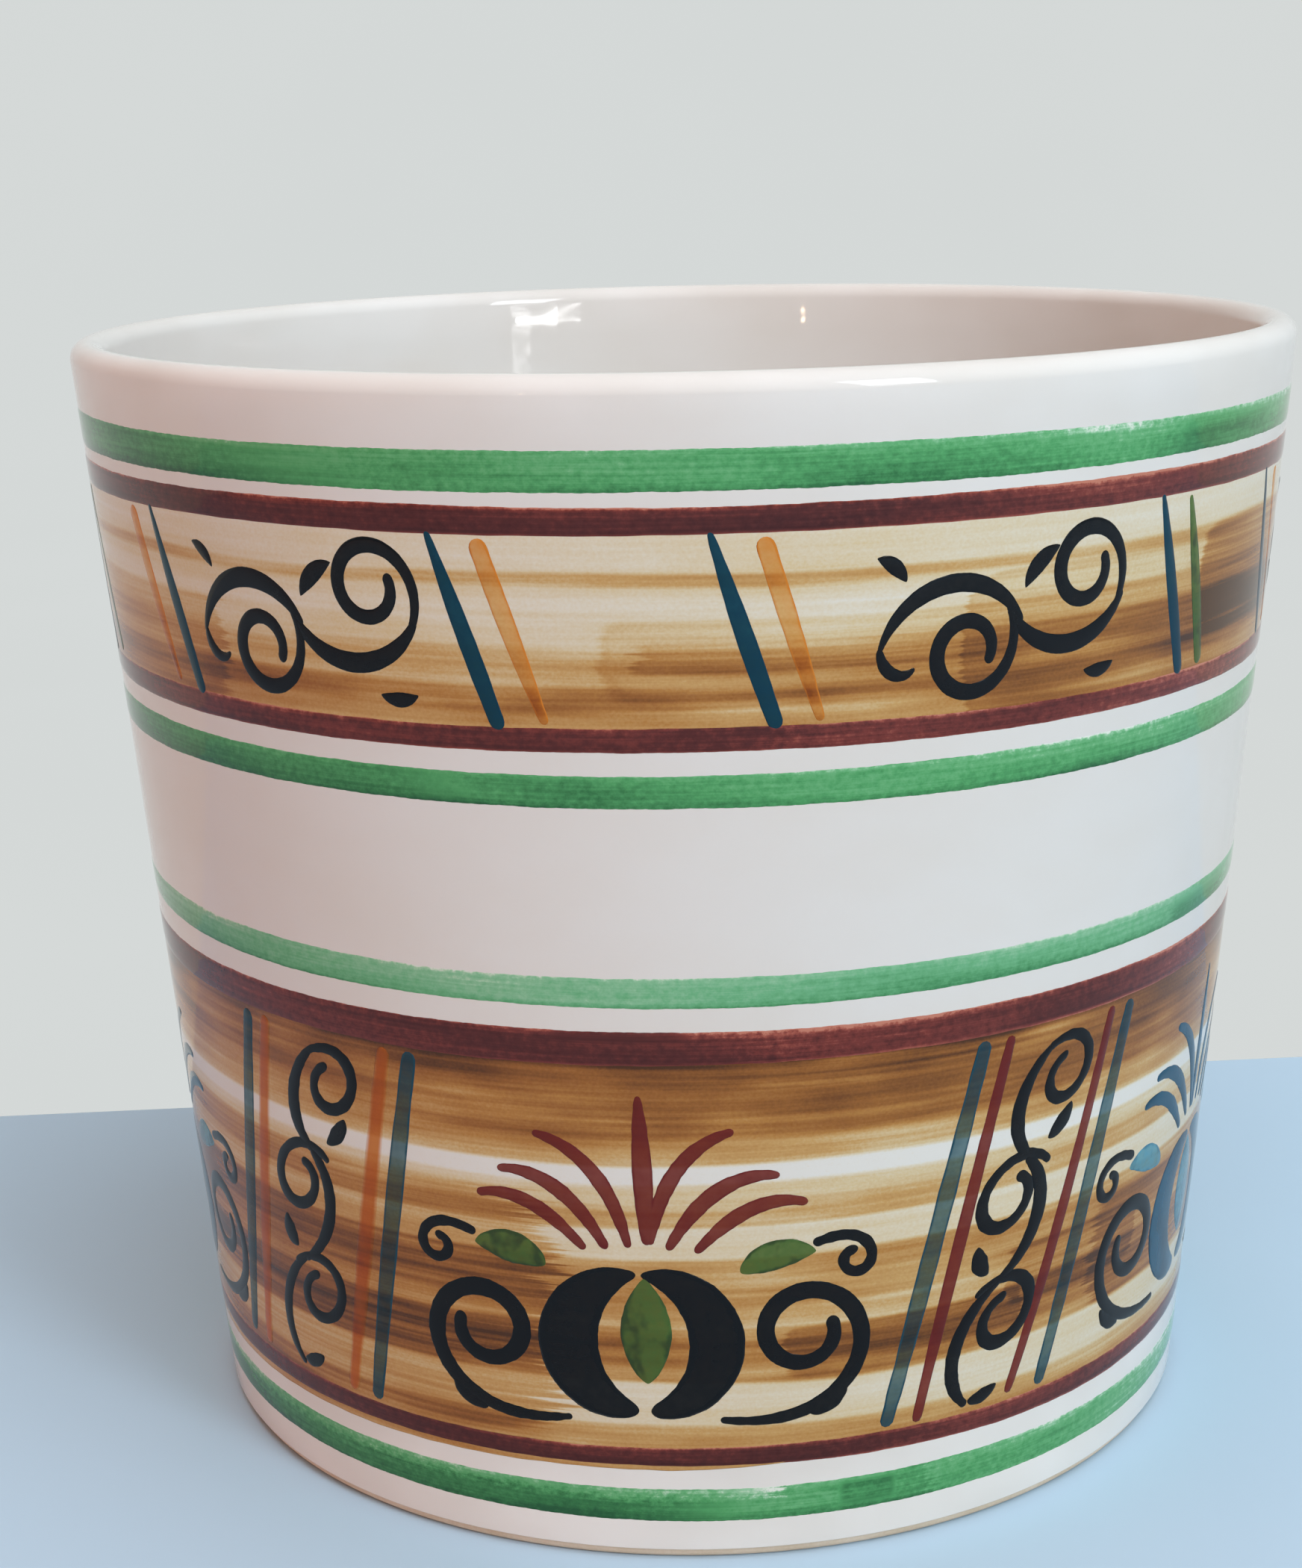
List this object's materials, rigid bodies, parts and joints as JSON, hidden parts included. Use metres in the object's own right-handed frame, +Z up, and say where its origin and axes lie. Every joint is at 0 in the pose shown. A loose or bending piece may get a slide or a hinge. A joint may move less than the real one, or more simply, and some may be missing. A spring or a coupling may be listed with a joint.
{
  "type": "planter",
  "caption": "Round ceramic planter with a straight taper, round lip and turned foot ring, open inside, with painted bands and two friezes as separate glaze layers.",
  "frame": {"origin": "middle of the base, on the surface that the pot stands on", "axes": "+Z up along the pot's axis, front of the pot towards -Y, +X to the viewer's right"},
  "size_m": [0.1996, 0.1994, 0.18],
  "materials": {
    "fired_clay": "matt, unglazed",
    "white_glaze": "gloss",
    "green_colour": "gloss, streaked by the banding brush",
    "pale_green_colour": "gloss, thin and streaked",
    "oxblood_colour": "gloss",
    "brown_wash": "gloss, brushed in level streaks",
    "teal_colour": "gloss",
    "orange_colour": "gloss",
    "leaf_green_colour": "gloss, mottled",
    "black_colour": "gloss",
    "sky_blue_colour": "gloss"
  },
  "bodies": {
    "root": {"clay_body": "fired_clay", "inner_glaze": "white_glaze", "outer_glaze": "white_glaze", "green_band_1": "green_colour", "green_band_2": "green_colour", "green_band_3": "pale_green_colour", "green_band_4": "green_colour", "oxblood_line_1": "oxblood_colour", "oxblood_line_2": "oxblood_colour", "oxblood_line_3": "oxblood_colour", "oxblood_line_4": "oxblood_colour", "upper_ground": "brown_wash", "lower_ground": "brown_wash", "upper_teal_strokes": "teal_colour", "upper_orange_strokes": "orange_colour", "upper_green_strokes": "leaf_green_colour", "upper_scrolls": "black_colour", "lower_teal_bars": "teal_colour", "lower_orange_bars": "orange_colour", "lower_oxblood_bars": "oxblood_colour", "tendril_scrolls": "black_colour", "palmette_bulbs": "black_colour", "palmette_scrolls": "black_colour", "palmette_leaves": "leaf_green_colour", "palmette_fronds": "oxblood_colour", "teal_palmette_bulbs": "teal_colour", "teal_palmette_leaves": "sky_blue_colour", "teal_palmette_fronds": "teal_colour"}
  },
  "joints": []
}
